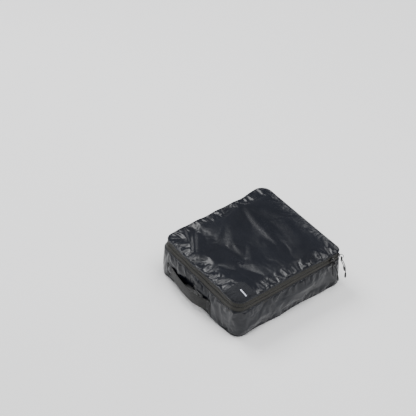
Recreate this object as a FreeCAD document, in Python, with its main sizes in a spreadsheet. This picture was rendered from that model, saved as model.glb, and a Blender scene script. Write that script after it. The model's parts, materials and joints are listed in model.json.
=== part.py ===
import FreeCAD, Part
import math
import os
import Sketcher
from FreeCAD import Placement, Rotation, Vector

# A soft packing cube: a box of thin coated cloth whose lid opens on a two-way zipper.
# Origin: centre of the underside. X runs along the handle side, Y along the slider side,
# +Z is up. The handle is on the -Y wall, the lid hinges on the +Y wall, and both sliders
# rest at the corner of the +X and +Y walls. Millimetres.

SIZES = {
    # whole cube
    "overall_x": 320.0,
    "overall_y": 345.0,
    "overall_z": 112.0,
    "corner_radius": 30.0,
    "pull_corner_radius": 20.0,
    "cloth": 1.2,
    "clearance": 0.3,
    # zipper: visible band from the gusset's top edge to the lid, chain in its middle
    "gusset_top": 86.0,
    "chain_height": 99.0,
    "chain_gap": 1.4,
    "tape_thick": 1.0,
    "tape_lap": 8.0,
    "coil_depth": 2.2,
    "coil_height": 2.3,
    "hinge_half": 110.0,
    "stop_length": 3.0,
    "tab_length": 10.0,
    "tab_height": 20.0,
    "tab_thick": 0.8,
    # seam bindings inside
    "binding_thick": 1.0,
    "binding_height": 7.0,
    "back_binding_width": 12.0,
    "hinge_binding_width": 3.0,
    # corner patch and its blank tab
    "patch_x": 62.0,
    "patch_y": 68.0,
    "patch_thick": 0.8,
    "patch_margin": 2.0,
    "patch_outer_radius": 27.0,
    "patch_inner_radius": 16.0,
    "label_x": 26.0,
    "label_y": 4.0,
    "label_centre_x": 135.0,
    "label_centre_y": -131.0,
    # handle: 38 mm webbing standing off the -Y wall
    "web_width": 38.0,
    "web_thick": 1.8,
    "web_low": 18.0,
    "handle_centre": -30.0,
    "grip_half": 49.0,
    "leg_run": 31.0,
    "end_length": 12.0,
    "handle_stand": 14.2,
    "leg_gap": 0.5,
    # slider, in its own frame on the tape's outer face at the chain's middle
    "slider_half": 6.0,
    "slider_nose": 5.5,
    "slider_tail": 4.2,
    "plate_thick": 1.8,
    "web_half": 0.4,
    "inner_half": 3.0,
    "inner_thick": 1.2,
    "inner_gap": 0.6,
    "inner_drop": 4.5,
    "bridge_half": 3.6,
    "bridge_hole": 2.5,
    "bridge_lift": 2.6,
    "bridge_bar": 1.1,
    "bridge_shoulder": 1.6,
    "bridge_width": 2.4,
    "ring_radius": 5.4,
    "ring_wire": 0.8,
    # pull: folded cord, collar and two moulded tips
    "cord_width": 2.2,
    "collar_x": 9.0,
    "collar_y": 5.0,
    "collar_z": 5.0,
    "collar_drop": 4.6,
    "tip_radius": 2.6,
    "tip_length": 17.0,
    "tip_round": 1.8,
    # where the sliders rest: A along the +X wall, B turned round the corner, in degrees
    "slider_a_y": 137.0,
    "slider_b_turn": 30.0,
}

# Pull cords, by hand: each lies in its slider's frame, from the short tip up over the
# ring and down to the long tip. The first number runs along the chain, the second is
# negative outwards, the third is up, all from the middle of the ring's lowest wire.
CORD_ROUTES = {
    "a": (
        (-3.0, -3.4, -26.0),
        (-3.6, -2.4, -18.5),
        (-3.0, -1.0, -11.0),
        (-2.3, -0.2, -4.2),
        (-2.7, 0.0, 2.3),
        (2.7, 0.0, 2.3),
        (2.3, -0.2, -4.2),
        (3.2, -1.5, -11.4),
        (6.2, -3.8, -19.6),
        (9.0, -5.8, -28.8),
        (10.6, -7.0, -38.0),
        (11.0, -7.6, -46.0),
    ),
    "b": (
        (0.6, -7.8, -30.0),
        (-0.6, -6.4, -22.6),
        (-1.8, -4.0, -15.6),
        (-2.6, -1.6, -9.8),
        (-2.3, -0.2, -4.2),
        (-2.7, 0.0, 2.3),
        (2.7, 0.0, 2.3),
        (2.3, -0.2, -4.2),
        (3.0, -2.0, -10.6),
        (4.4, -5.4, -18.6),
        (5.0, -9.0, -28.0),
        (5.2, -11.4, -37.6),
        (4.8, -12.4, -46.4),
        (4.6, -12.6, -54.0),
    ),
}

ARC_SHARE = 0.45
CORNERS = (
    (1, 1, "pull_corner_radius"),
    (-1, 1, "corner_radius"),
    (-1, -1, "corner_radius"),
    (1, -1, "corner_radius"),
)

doc = FreeCAD.newDocument("PackingCube")
sub_parts = []


def make_sheet():
    sheet = doc.addObject("Spreadsheet::Sheet", "Sizes")
    for row, (alias, value) in enumerate(SIZES.items(), start=1):
        sheet.set(f"A{row}", alias)
        sheet.set(f"B{row}", str(value))
        sheet.setAlias(f"B{row}", alias)
    doc.recompute()
    return sheet


sheet = make_sheet()


def size(text):
    """The value of an expression in the sheet's aliases."""
    return float(sheet.evalExpression(text))


def keep(feature):
    """Note a finished sub-part, which is written out at the end."""
    sub_parts.append(feature)
    return feature


# ---------------------------------------------------------------- sketch helpers


def new_body(label):
    body = doc.addObject("PartDesign::Body", label)
    body.Label = label
    return body


def new_sketch(body, role, level="0"):
    """A sketch on one of the body's own origin planes, moved along the plane's normal."""
    plane = [item for item in body.Origin.OriginFeatures if item.Role == role][0]
    sketch = body.newObject("Sketcher::SketchObject", body.Name + "Sketch")
    sketch.AttachmentSupport = [(plane, "")]
    sketch.MapMode = "FlatFace"
    sketch.setExpression("AttachmentOffset.Base.z", level)
    return sketch


def bind(sketch, kind, geometry, position, text):
    """Place one point of the sketch by an expression along X or Y."""
    datum = Sketcher.Constraint(kind, -1, 1, geometry, position, size(text))
    number = sketch.addConstraint(datum)
    sketch.setExpression(f"Constraints[{number}]", text)


def add_outline(sketch, inset):
    """The cube's rounded outline, moved inwards by inset."""
    first = sketch.GeometryCount
    for turn, (side_x, side_y, radius) in enumerate(CORNERS):
        centre_x = f"{side_x} * (overall_x / 2 - {radius})"
        centre_y = f"{side_y} * (overall_y / 2 - {radius})"
        centre = Vector(size(centre_x), size(centre_y), 0)
        circle = Part.Circle(centre, Vector(0, 0, 1), size(f"{radius} - ({inset})"))
        start = turn * math.pi / 2
        arc = sketch.addGeometry(Part.ArcOfCircle(circle, start, start + math.pi / 2))
        bind(sketch, "DistanceX", arc, 3, scoped(centre_x))
        bind(sketch, "DistanceY", arc, 3, scoped(centre_y))
        number = sketch.addConstraint(Sketcher.Constraint("Radius", arc, circle.Radius))
        sketch.setExpression(f"Constraints[{number}]", scoped(f"{radius} - ({inset})"))
    for turn in range(4):
        here = sketch.Geometry[first + turn].EndPoint
        there = sketch.Geometry[first + (turn + 1) % 4].StartPoint
        line = sketch.addGeometry(Part.LineSegment(here, there))
        sketch.addConstraint(Sketcher.Constraint("Tangent", first + turn, 2, line, 1))
        after = first + (turn + 1) % 4
        sketch.addConstraint(Sketcher.Constraint("Tangent", line, 2, after, 1))


def scoped(text):
    """The same expression, with each alias looked up in the sheet."""
    words = sorted(SIZES, key=len, reverse=True)
    out = []
    for word in text.replace("(", " ( ").replace(")", " ) ").split():
        out.append(f"Sizes.{word}" if word in words else word)
    return " ".join(out)


def add_polygon(sketch, corners):
    """A closed outline of straight lines, each corner placed by two expressions."""
    places = [Vector(size(across), size(up), 0) for across, up in corners]
    first = sketch.GeometryCount
    count = len(corners)
    for turn in range(count):
        sketch.addGeometry(Part.LineSegment(places[turn], places[(turn + 1) % count]))
    for turn, (across, up) in enumerate(corners):
        line = first + turn
        before = first + (turn - 1) % count
        sketch.addConstraint(Sketcher.Constraint("Coincident", before, 2, line, 1))
        bind(sketch, "DistanceX", line, 1, scoped(across))
        bind(sketch, "DistanceY", line, 1, scoped(up))


def pad(body, sketch, length, both_ways=False):
    feature = body.newObject("PartDesign::Pad", body.Name + "Pad")
    feature.Profile = sketch
    feature.SideType = "Symmetric" if both_ways else "One side"
    feature.setExpression("Length", scoped(length))
    return feature


# ---------------------------------------------------------------- sewn cloth parts


def plate(label, inset, low, thick):
    """A flat panel with the cube's outline."""
    body = new_body(label)
    sketch = new_sketch(body, "XY_Plane", scoped(low))
    add_outline(sketch, inset)
    pad(body, sketch, thick)
    return keep(body)


def band(label, inset, thick, low, height, open_back=True):
    """A strip that stands on edge round the cube, open across the hinge if asked."""
    body = new_body(label)
    sketch = new_sketch(body, "XY_Plane", scoped(low))
    add_outline(sketch, inset)
    add_outline(sketch, f"{inset} + {thick}")
    pad(body, sketch, height)
    if open_back:
        cutter = new_sketch(body, "XY_Plane", scoped(f"{low} + {height}"))
        near, far = "overall_y / 4", "overall_y"
        add_polygon(cutter, [
            ("-1 * hinge_half", near),
            ("hinge_half", near),
            ("hinge_half", far),
            ("-1 * hinge_half", far),
        ])
        pocket = body.newObject("PartDesign::Pocket", label + "Opening")
        pocket.Profile = cutter
        pocket.setExpression("Length", scoped(height))
    return keep(body)


def block(label, low, extent):
    """A box from its lowest corner and its three sides, all expressions."""
    box = doc.addObject("Part::Box", label)
    box.Label = label
    for side, text in zip(("Length", "Width", "Height"), extent):
        box.setExpression(side, scoped(text))
    for axis, text in zip("xyz", low):
        box.setExpression(f".Placement.Base.{axis}", scoped(text))
    return keep(box)


def make_base_cloth():
    plate("base_panel", "0", "0", "cloth")
    band("side_gusset", "0", "cloth", "cloth", "gusset_top - cloth")
    band("base_binding", "cloth", "binding_thick", "cloth", "binding_height", open_back=False)
    block(
        "back_wall",
        ("clearance - hinge_half", "overall_y / 2 - cloth", "cloth"),
        (
            "2 * ( hinge_half - clearance )",
            "cloth",
            "overall_z - 2 * cloth - clearance",
        ),
    )
    for name, side in (("left", -1), ("right", 1)):
        block(
            f"back_seam_binding_{name}",
            (
                f"{side} * hinge_half - back_binding_width / 2",
                "overall_y / 2 - cloth - binding_thick",
                "cloth + binding_height",
            ),
            (
                "back_binding_width",
                "binding_thick",
                "gusset_top - tape_lap - binding_height - 2 * cloth",
            ),
        )


def make_lid_cloth():
    plate("top_panel", "0", "overall_z - cloth", "cloth")
    band(
        "lid_binding",
        "cloth + tape_thick",
        "binding_thick",
        "overall_z - cloth - binding_height",
        "binding_height",
    )
    block(
        "hinge_binding",
        (
            "clearance - hinge_half",
            "overall_y / 2 - cloth - clearance - hinge_binding_width",
            "overall_z - 2 * cloth",
        ),
        ("2 * ( hinge_half - clearance )", "hinge_binding_width", "cloth"),
    )


def make_corner_patch():
    """The reinforcement sewn on the lid's front corner, and the blank tab on it."""
    body = new_body("corner_patch")
    sketch = new_sketch(body, "XY_Plane", scoped("overall_z"))
    left, right = "overall_x / 2 - patch_margin - patch_x", "overall_x / 2 - patch_margin"
    near, far = "patch_margin - overall_y / 2", "patch_margin + patch_y - overall_y / 2"
    add_polygon(sketch, [(left, near), (right, near), (right, far), (left, far)])
    pad(body, sketch, "patch_thick")
    doc.recompute()
    outer = Vector(size(right), size(near), 0)
    inner = Vector(size(left), size(far), 0)
    for corner, radius in ((outer, "patch_outer_radius"), (inner, "patch_inner_radius")):
        round_edge(body, corner, radius)
    keep(body)
    block(
        "corner_label",
        (
            "label_centre_x - label_x / 2",
            "label_centre_y - label_y / 2",
            "overall_z + patch_thick",
        ),
        ("label_x", "label_y", "patch_thick"),
    )


def round_edge(body, corner, radius):
    """Fillet the upright edge of the body that stands over one corner."""
    solid = body.Tip
    names = []
    for number, edge in enumerate(solid.Shape.Edges, start=1):
        flat = Vector(edge.CenterOfMass.x, edge.CenterOfMass.y, 0)
        if flat.distanceToPoint(corner) < size("clearance"):
            names.append(f"Edge{number}")
    fillet = body.newObject("PartDesign::Fillet", body.Name + "Round")
    fillet.Base = (solid, names)
    fillet.setExpression("Radius", scoped(radius))
    doc.recompute()


# ---------------------------------------------------------------- zipper


def make_zipper():
    """Both tapes and coils, with the end stops and cloth tabs by the hinge."""
    coil_inset = "cloth + tape_thick"
    chain_low = "chain_height - chain_gap / 2"
    chain_high = "chain_height + chain_gap / 2"
    band(
        "zipper_tape_lower",
        "cloth",
        "tape_thick",
        "gusset_top - tape_lap",
        f"{chain_low} - gusset_top + tape_lap",
    )
    band("zipper_coil_lower", coil_inset, "coil_depth", f"{chain_low} - coil_height", "coil_height")
    band(
        "zipper_tape_upper",
        "cloth",
        "tape_thick",
        chain_high,
        f"overall_z - cloth - ( {chain_high} )",
    )
    band("zipper_coil_upper", coil_inset, "coil_depth", chain_high, "coil_height")
    for name, side in (("left", -1), ("right", 1)):
        block(
            f"zipper_stop_{name}",
            (
                f"{side} * ( hinge_half - clearance - stop_length / 2 ) - stop_length / 2",
                "overall_y / 2 - cloth - tape_thick - coil_depth",
                f"{chain_low} - coil_height",
            ),
            ("stop_length", "coil_depth", "coil_height"),
        )
        block(
            f"zipper_tab_{name}",
            (
                f"{side} * hinge_half - tab_length / 2",
                "overall_y / 2",
                f"{chain_low} - tab_height",
            ),
            ("tab_length", "tab_thick", "tab_height"),
        )


# ---------------------------------------------------------------- handle


def make_handle():
    """Webbing sewn down at both ends, with a middle that can be pressed to the wall."""
    wall = "-1 * overall_y / 2"
    stand = f"{wall} - handle_stand"
    block(
        "handle_grip",
        ("handle_centre - grip_half", f"{stand} - web_thick", "web_low"),
        ("2 * grip_half", "web_thick", "web_width"),
    )
    for name, side in (("left", -1), ("right", 1)):
        inner = f"handle_centre + {side} * ( grip_half + leg_gap )"
        outer = f"handle_centre + {side} * ( grip_half + leg_run )"
        leg = new_body(f"handle_leg_{name}")
        sketch = new_sketch(leg, "XY_Plane", scoped("web_low"))
        add_polygon(sketch, [
            (inner, stand),
            (outer, f"{wall} - clearance"),
            (outer, f"{wall} - web_thick - clearance"),
            (inner, f"{stand} - web_thick"),
        ])
        pad(leg, sketch, "web_width")
        keep(leg)
        middle = f"handle_centre + {side} * ( grip_half + leg_run + end_length / 2 )"
        block(
            f"handle_end_{name}",
            (f"{middle} - end_length / 2", f"{wall} - 2 * web_thick", "web_low"),
            ("end_length", "2 * web_thick", "web_width"),
        )


# ---------------------------------------------------------------- sliders and pulls


def slider_stations():
    """Where each slider's frame stands: X along the chain, -Y outwards, Z up."""
    inset = size("cloth")
    height = size("chain_height")
    station_a = Placement(
        Vector(size("overall_x") / 2 - inset, size("slider_a_y"), height),
        Rotation(Vector(0, 0, 1), 90),
    )
    radius = size("pull_corner_radius")
    turn = math.radians(size("slider_b_turn"))
    centre = Vector(size("overall_x") / 2 - radius, size("overall_y") / 2 - radius, height)
    outwards = Vector(math.cos(turn), math.sin(turn), 0)
    station_b = Placement(
        centre + outwards * (radius - inset),
        Rotation(Vector(0, 0, 1), 90 + size("slider_b_turn")),
    )
    return {"a": station_a, "b": station_b}


def make_slider_body(letter, station):
    """Outer plate and bridge, a thin web through the chain and a half plate inside."""
    body = new_body(f"slider_body_{letter}")
    front = new_sketch(body, "XZ_Plane", scoped("clearance"))
    add_polygon(front, [
        ("-1 * slider_half", "-1 * slider_tail"),
        ("slider_half / 3", "-1 * slider_nose"),
        ("slider_half", "-1 * slider_nose * 0.7"),
        ("slider_half", "slider_nose * 0.7"),
        ("slider_half / 3", "slider_nose"),
        ("-1 * slider_half", "slider_tail"),
    ])
    pad(body, front, "plate_thick")
    foot = "-1 * ( clearance + plate_thick )"
    hole = f"{foot} - bridge_lift"
    bar = f"{hole} - bridge_bar"
    bridge = new_sketch(body, "XY_Plane")
    add_polygon(bridge, [
        ("-1 * bridge_half", f"{foot} + clearance"),
        ("-1 * bridge_half", f"{bar} + bridge_shoulder"),
        ("bridge_shoulder - bridge_half", bar),
        ("bridge_half - bridge_shoulder", bar),
        ("bridge_half", f"{bar} + bridge_shoulder"),
        ("bridge_half", f"{foot} + clearance"),
        ("bridge_hole", f"{foot} + clearance"),
        ("bridge_hole", hole),
        ("-1 * bridge_hole", hole),
        ("-1 * bridge_hole", f"{foot} + clearance"),
    ])
    pad(body, bridge, "bridge_width", both_ways=True)
    inner_face = "tape_thick + coil_depth + inner_gap"
    inner_back = f"{inner_face} + inner_thick"
    web = new_sketch(body, "XY_Plane")
    add_polygon(web, [
        ("-1 * inner_half", "-2 * clearance"),
        ("inner_half", "-2 * clearance"),
        ("inner_half", inner_back),
        ("-1 * inner_half", inner_back),
    ])
    pad(body, web, "2 * web_half", both_ways=True)
    inside = new_sketch(body, "XZ_Plane", scoped(f"-1 * ( {inner_back} )"))
    add_polygon(inside, [
        ("-1 * inner_half", "-1 * inner_drop"),
        ("inner_half", "-1 * inner_drop"),
        ("inner_half", "web_half"),
        ("-1 * inner_half", "web_half"),
    ])
    pad(body, inside, "inner_thick")
    body.Placement = station
    return keep(body)


def make_ring(letter, station):
    """The wire ring that hangs through the bridge, standing in its own upright plane."""
    ring = doc.addObject("Part::Torus", f"ring_{letter}")
    ring.Label = f"ring_{letter}"
    ring.setExpression("Radius1", scoped("ring_radius"))
    ring.setExpression("Radius2", scoped("ring_wire"))
    reach = size("clearance + plate_thick + bridge_lift / 2 + ring_radius")
    upright = Placement(Vector(0, -reach, 0), Rotation(Vector(0, 1, 0), 90))
    ring.Placement = station.multiply(upright)
    return keep(ring)


def rounded_path(points):
    """Straight runs joined by tangent arcs, and the arcs' radii."""
    edges = []
    radii = []
    last = points[0]
    for before, corner, after in zip(points, points[1:], points[2:]):
        back = Vector(before - corner).normalize()
        ahead = Vector(after - corner).normalize()
        reach = ARC_SHARE * min((before - corner).Length, (after - corner).Length)
        half_turn = (math.pi - back.getAngle(ahead)) / 2
        radius = reach / math.tan(half_turn)
        inwards = Vector(back + ahead).normalize()
        centre = corner + inwards * (radius / math.cos(half_turn))
        start = corner + back * reach
        end = corner + ahead * reach
        edges.append(Part.LineSegment(last, start).toShape())
        edges.append(Part.Arc(start, centre - inwards * radius, end).toShape())
        radii.append(radius)
        last = end
    edges.append(Part.LineSegment(last, points[-1]).toShape())
    return Part.Wire(edges), radii


def make_cord(letter, hang):
    """The folded pull cord: one round tube from the short tip to the long tip."""
    points = [Vector(*place) for place in CORD_ROUTES[letter]]
    path, radii = rounded_path(points)
    half = size("cord_width") / 2
    start = Vector(points[1] - points[0])
    section = Part.Wire(Part.Circle(points[0], start, half).toShape())
    tube = path.makePipeShell([section], True, False)
    cord = doc.addObject("Part::Feature", f"pull_cord_{letter}")
    cord.Label = f"pull_cord_{letter}"
    cord.Shape = tube
    cord.Placement = hang
    expected = math.pi * half ** 2 * path.Length
    print(cord.Label, "length", round(path.Length, 1), "volume ratio", tube.Volume / expected)
    print(cord.Label, "radii", [round(radius, 1) for radius in radii])
    return keep(cord)


def make_tip(label, hang, top, before):
    """A moulded tip that carries on along the cord's last run."""
    body = new_body(label)
    sketch = new_sketch(body, "XY_Plane")
    circle = Part.Circle(Vector(0, 0, 0), Vector(0, 0, 1), size("tip_radius"))
    ring = sketch.addGeometry(circle)
    sketch.addConstraint(Sketcher.Constraint("Coincident", ring, 3, -1, 1))
    number = sketch.addConstraint(Sketcher.Constraint("Radius", ring, circle.Radius))
    sketch.setExpression(f"Constraints[{number}]", scoped("tip_radius"))
    barrel = pad(body, sketch, "tip_length")
    doc.recompute()
    ends = []
    for number, edge in enumerate(barrel.Shape.Edges, start=1):
        if edge.isClosed():
            ends.append(f"Edge{number}")
    fillet = body.newObject("PartDesign::Fillet", label + "Round")
    fillet.Base = (barrel, ends)
    fillet.setExpression("Radius", scoped("tip_round"))
    along = Rotation(Vector(0, 0, 1), Vector(top - before))
    body.Placement = hang.multiply(Placement(top, along))
    return keep(body)


def make_pull(letter, station):
    """Cord, collar and tips, hung from the ring's lowest point."""
    reach = size("clearance + plate_thick + bridge_lift / 2 + ring_radius")
    hang = station.multiply(Placement(Vector(0, -reach, -size("ring_radius")), Rotation()))
    make_cord(letter, hang)
    points = [Vector(*place) for place in CORD_ROUTES[letter]]
    make_tip(f"tip_short_{letter}", hang, points[0], points[1])
    make_tip(f"tip_long_{letter}", hang, points[-1], points[-2])
    collar = doc.addObject("Part::Box", f"collar_{letter}")
    collar.Label = f"collar_{letter}"
    collar.setExpression("Length", scoped("collar_x"))
    collar.setExpression("Width", scoped("collar_y"))
    collar.setExpression("Height", scoped("collar_z"))
    low = Vector(
        -size("collar_x / 2"),
        -size("collar_y / 2 + cord_width / 2"),
        -size("collar_drop + collar_z"),
    )
    collar.Placement = hang.multiply(Placement(low, Rotation()))
    return keep(collar)


def write_parts():
    """Check every object, then write each sub-part to its own file."""
    doc.recompute()
    for item in doc.Objects:
        if "Invalid" in item.State or "Error" in item.State:
            raise RuntimeError(f"{item.Label} failed: {item.State}")
    for part in sub_parts:
        if part.Shape.isNull() or not part.Shape.isValid():
            raise RuntimeError(f"{part.Label} has no valid shape")
    os.makedirs("parts", exist_ok=True)
    for part in sub_parts:
        part.Shape.exportStep(f"parts/{part.Label}.step")
        print(part.Label, "solids", len(part.Shape.Solids), "volume", round(part.Shape.Volume, 1))


make_base_cloth()
make_lid_cloth()
make_corner_patch()
make_zipper()
make_handle()
for letter, station in slider_stations().items():
    make_slider_body(letter, station)
    make_ring(letter, station)
    make_pull(letter, station)
write_parts()
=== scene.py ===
import math
import json
import bpy
import numpy as np
from mathutils import Matrix, Vector
from mathutils.bvhtree import BVHTree


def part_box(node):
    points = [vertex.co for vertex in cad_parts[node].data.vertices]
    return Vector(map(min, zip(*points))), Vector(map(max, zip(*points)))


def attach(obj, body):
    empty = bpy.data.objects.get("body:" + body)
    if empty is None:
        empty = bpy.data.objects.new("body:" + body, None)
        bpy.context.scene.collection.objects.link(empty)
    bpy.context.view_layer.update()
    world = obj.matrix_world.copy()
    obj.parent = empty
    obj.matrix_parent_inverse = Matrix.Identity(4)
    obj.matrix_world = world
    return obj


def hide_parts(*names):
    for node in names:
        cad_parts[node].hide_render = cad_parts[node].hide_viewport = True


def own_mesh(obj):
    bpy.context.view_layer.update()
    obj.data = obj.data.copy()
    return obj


# A packing cube in thin glossy coated cloth. Everything is in metres, in the frame's axes:
# X along the handle side, Y along the slider side towards the hinge, Z up.

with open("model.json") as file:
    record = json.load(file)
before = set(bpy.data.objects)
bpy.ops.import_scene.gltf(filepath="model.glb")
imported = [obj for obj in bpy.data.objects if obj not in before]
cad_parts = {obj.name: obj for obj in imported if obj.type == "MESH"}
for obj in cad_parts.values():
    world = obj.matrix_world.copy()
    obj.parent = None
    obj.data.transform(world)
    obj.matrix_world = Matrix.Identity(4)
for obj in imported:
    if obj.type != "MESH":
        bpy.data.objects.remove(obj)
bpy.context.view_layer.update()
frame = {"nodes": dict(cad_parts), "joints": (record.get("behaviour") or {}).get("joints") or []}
scene = bpy.context.scene
MM = 0.001

# ---- sizes from the frame

TOP_LOW, TOP_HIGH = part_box("top_panel")
GUSSET_LOW, GUSSET_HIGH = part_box("side_gusset")
TAPE_LOW, TAPE_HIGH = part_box("zipper_tape_lower")
UPPER_LOW, UPPER_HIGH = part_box("zipper_tape_upper")
COIL_LOW, COIL_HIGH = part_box("zipper_coil_lower")
HALF_X = TOP_HIGH[0]
HALF_Y = TOP_HIGH[1]
LID_Z = TOP_HIGH[2]
GUSSET_TOP = GUSSET_HIGH[2]
CHAIN_Z = (TAPE_HIGH[2] + UPPER_LOW[2]) / 2
TAPE_INSET = HALF_X - TAPE_HIGH[0]
COIL_INSET = HALF_X - COIL_HIGH[0]
HINGE_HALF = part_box("back_wall")[1][0]
CORNER_R = 30 * MM
PULL_CORNER_R = 20 * MM

# ---- camera, lights, floor


def look_at(obj, target):
    aim = Vector(target) - obj.location
    obj.rotation_euler = aim.to_track_quat("-Z", "Y").to_euler()


def make_camera():
    data = bpy.data.cameras.new("camera")
    data.lens = 142.5
    data.sensor_width = 36.0
    camera = bpy.data.objects.new("camera", data)
    scene.collection.objects.link(camera)
    camera.location = (2.3774, -1.9474, 2.9919)
    look_at(camera, (-0.2752, 0.0733, 0.0))
    scene.camera = camera


def area_light(name, place, target, side, power):
    data = bpy.data.lights.new(name, "AREA")
    data.shape = "RECTANGLE"
    data.size, data.size_y = side
    data.energy = power
    light = bpy.data.objects.new(name, data)
    scene.collection.objects.link(light)
    light.location = place
    look_at(light, target)


def make_lights():
    area_light("key", (-1.9, -0.25, 2.5), (0, 0, 0), (1.5, 1.5), 74)
    area_light("overhead", (0.7, 0.5, 3.0), (0, 0, 0), (2.2, 2.2), 98)
    area_light("back", (-0.9, 2.9, 1.3), (0, 0, 0.05), (1.8, 0.9), 16)
    area_light("right", (3.0, 1.3, 1.0), (0, 0, 0.05), (1.2, 0.8), 9)
    area_light("left", (-1.2, -2.9, 1.1), (0, 0, 0.05), (1.6, 0.8), 14)
    world = bpy.data.worlds.new("studio")
    world.use_nodes = True
    back = world.node_tree.nodes["Background"]
    back.inputs["Color"].default_value = (0.95, 0.97, 1.0, 1)
    back.inputs["Strength"].default_value = 0.34
    scene.world = world


# ---- materials


class Paint:
    """A small helper that wires one procedural material."""

    def __init__(self, name, roughness, specular=0.5, metallic=0.0):
        self.material = bpy.data.materials.new(name)
        self.material.use_nodes = True
        self.tree = self.material.node_tree
        self.shader = self.tree.nodes["Principled BSDF"]
        self.set("Roughness", roughness)
        self.set("Specular IOR Level", specular)
        self.set("Metallic", metallic)
        self.place = self.tree.nodes.new("ShaderNodeTexCoord")
        self.height = None

    def set(self, socket, value):
        self.shader.inputs[socket].default_value = value

    def link(self, out, into):
        self.tree.links.new(out, into)

    def stretched(self, source, scale):
        mapping = self.tree.nodes.new("ShaderNodeMapping")
        mapping.inputs["Scale"].default_value = scale
        self.link(self.place.outputs[source], mapping.inputs["Vector"])
        return mapping.outputs["Vector"]

    def noise(self, source, scale, detail=3.0, stretch=(1, 1, 1)):
        node = self.tree.nodes.new("ShaderNodeTexNoise")
        node.inputs["Scale"].default_value = scale
        node.inputs["Detail"].default_value = detail
        self.link(self.stretched(source, stretch), node.inputs["Vector"])
        return node.outputs["Fac"]

    def wave(self, source, direction, pitch, stretch=(1, 1, 1)):
        """Even ridges, one each pitch metres, across the named direction."""
        node = self.tree.nodes.new("ShaderNodeTexWave")
        node.bands_direction = direction
        node.inputs["Scale"].default_value = 2 * math.pi / (20 * pitch)
        self.link(self.stretched(source, stretch), node.inputs["Vector"])
        return node.outputs["Fac"]

    def ramp(self, fac, stops):
        node = self.tree.nodes.new("ShaderNodeValToRGB")
        ramp = node.color_ramp
        ramp.elements[0].position, ramp.elements[0].color = stops[0][0], (*stops[0][1], 1)
        ramp.elements[1].position, ramp.elements[1].color = stops[-1][0], (*stops[-1][1], 1)
        for position, colour in stops[1:-1]:
            ramp.elements.new(position).color = (*colour, 1)
        self.link(fac, node.inputs["Fac"])
        return node.outputs["Color"]

    def colour(self, fac, dark, light, low=0.3, high=0.7):
        self.link(self.ramp(fac, [(low, dark), (high, light)]), self.shader.inputs["Base Color"])

    def rough(self, fac, low, high):
        node = self.tree.nodes.new("ShaderNodeMapRange")
        node.inputs["To Min"].default_value = low
        node.inputs["To Max"].default_value = high
        self.link(fac, node.inputs["Value"])
        self.link(node.outputs["Result"], self.shader.inputs["Roughness"])

    def bump(self, fac, strength, depth):
        node = self.tree.nodes.new("ShaderNodeBump")
        node.inputs["Strength"].default_value = strength
        node.inputs["Distance"].default_value = depth
        self.link(fac, node.inputs["Height"])
        if self.height is not None:
            self.link(self.height, node.inputs["Normal"])
        self.height = node.outputs["Normal"]
        self.link(self.height, self.shader.inputs["Normal"])


def shell_cloth():
    """Dark navy nylon with a glossy coating, a fine weave and small creases."""
    paint = Paint("shell_cloth", 0.36, specular=0.36)
    paint.colour(paint.noise("Object", 9.0), (0.0022, 0.0030, 0.0064), (0.0036, 0.0048, 0.0092))
    paint.rough(paint.noise("Object", 30.0, detail=4.0), 0.22, 0.38)
    paint.bump(paint.noise("Object", 60.0, detail=4.0), 0.35, 0.0011)
    paint.bump(paint.noise("Object", 190.0, detail=3.0, stretch=(1, 1, 0.6)), 0.22, 0.0005)
    paint.bump(paint.wave("UV", "X", 0.45 * MM), 0.10, 0.00006)
    paint.bump(paint.wave("UV", "Y", 0.45 * MM), 0.10, 0.00006)
    return paint.material


def tape_cloth():
    """Woven zipper tape: fine ribs along its length, matt, warm dark grey."""
    paint = Paint("tape_cloth", 0.72, specular=0.28)
    paint.colour(paint.noise("UV", 220.0, stretch=(1, 5, 1)), (0.013, 0.0125, 0.0105), (0.046, 0.044, 0.038))
    paint.bump(paint.wave("UV", "Y", 1.3 * MM), 0.45, 0.00025)
    paint.bump(paint.wave("UV", "X", 0.9 * MM), 0.25, 0.00012)
    paint.set("Sheen Weight", 0.06)
    return paint.material


def webbing():
    """Flat woven webbing: ribs along the strap and a finer weave across it."""
    paint = Paint("webbing", 0.62, specular=0.26)
    paint.colour(paint.noise("UV", 160.0, stretch=(1, 3, 1)), (0.007, 0.007, 0.007), (0.020, 0.020, 0.019))
    paint.bump(paint.wave("UV", "Y", 2.1 * MM), 0.5, 0.0004)
    paint.bump(paint.wave("UV", "X", 1.1 * MM), 0.35, 0.0002)
    paint.set("Sheen Weight", 0.05)
    return paint.material


def dark_woven(name, dark, light, pitch):
    paint = Paint(name, 0.6, specular=0.22)
    paint.colour(paint.noise("UV", 200.0), dark, light)
    paint.bump(paint.wave("UV", "X", pitch), 0.4, 0.0002)
    paint.bump(paint.wave("UV", "Y", pitch), 0.4, 0.0002)
    paint.set("Sheen Weight", 0.04)
    return paint.material


def thread():
    paint = Paint("thread", 0.55)
    paint.colour(paint.noise("Object", 900.0), (0.016, 0.017, 0.022), (0.034, 0.035, 0.042))
    paint.bump(paint.wave("Object", "X", 0.35 * MM), 0.3, 0.0001)
    return paint.material


def coil_nylon():
    paint = Paint("coil_nylon", 0.34)
    paint.colour(paint.noise("Object", 400.0), (0.010, 0.010, 0.011), (0.020, 0.020, 0.021))
    return paint.material


def enamel():
    """Gloss black enamel on the sliders, worn a little in random patches."""
    paint = Paint("enamel", 0.2, specular=0.7, metallic=0.35)
    paint.colour(paint.noise("Object", 700.0), (0.008, 0.008, 0.009), (0.020, 0.020, 0.021))
    paint.rough(paint.noise("Object", 500.0), 0.18, 0.36)
    paint.bump(paint.noise("Object", 1500.0), 0.1, 0.00005)
    paint.set("Coat Weight", 0.5)
    return paint.material


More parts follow.
